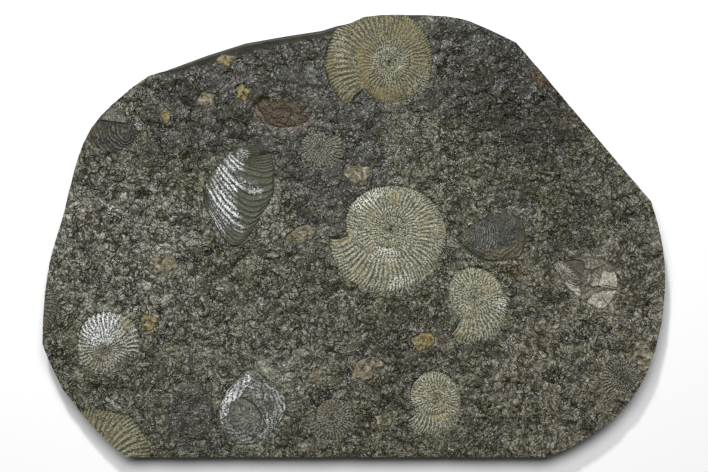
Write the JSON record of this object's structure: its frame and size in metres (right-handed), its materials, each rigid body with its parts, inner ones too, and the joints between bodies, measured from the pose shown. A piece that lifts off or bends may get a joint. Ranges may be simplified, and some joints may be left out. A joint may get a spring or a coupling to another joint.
{
  "type": "ammonite fossil cluster",
  "caption": "Sawn plate of dark fossil shale that lies flat, with flattened ribbed ammonites, ridged bivalves and bits of shell set in its rough face.",
  "frame": {"origin": "middle of the plate's outline, on the sawn back that it lies on", "axes": "+Z out of the fossil face, +X along the plate's length to the right as seen from above, +Y towards the edge that the largest upper coil touches"},
  "size_m": [0.3394, 0.2414, 0.0174],
  "materials": {
    "shale": "dark bituminous shale, split along the bedding on the face, sawn on the back and sides",
    "tan_coil": "yellow-tan fossil shell, satin",
    "pale_coil": "pale grey-tan fossil shell with bright rib crests, satin",
    "silver_coil": "pale grey fossil shell with silvery ribs, satin",
    "dark_coil": "fossil shell nearly as dark as the rock, satin",
    "silver_shell": "silvery grey shell with growth ridges, glossy",
    "tan_shell": "tan shell, cracked, satin",
    "dark_shell": "dark grey shell with growth ridges, satin",
    "brown_shell": "brown shell, dull",
    "ochre_shell": "ochre shell, dull"
  },
  "bodies": {
    "root": {"shale_plate": "shale", "ammonite_top": "tan_coil", "ammonite_centre": "pale_coil", "ammonite_right": "pale_coil", "ammonite_bottom": "pale_coil", "ammonite_left": "silver_coil", "ammonite_corner": "tan_coil", "ammonite_left_edge": "dark_coil", "ammonite_dark": "dark_coil", "mussel_large": "silver_shell", "clam_bottom": "silver_shell", "clam_right": "tan_shell", "clam_middle": "dark_shell", "clam_upper_left": "dark_shell", "shell_bit_01": "brown_shell", "shell_bit_02": "tan_shell", "shell_bit_03": "tan_shell", "shell_bit_04": "tan_shell", "shell_bit_05": "ochre_shell", "shell_bit_06": "tan_shell", "shell_bit_07": "tan_shell", "shell_bit_08": "tan_shell", "shell_bit_09": "tan_shell", "shell_bit_10": "ochre_shell", "shell_bit_11": "ochre_shell", "shell_bit_12": "brown_shell", "shell_bit_13": "tan_shell", "shell_bit_14": "tan_shell", "shell_bit_15": "ochre_shell", "shell_bit_16": "ochre_shell"}
  },
  "joints": []
}
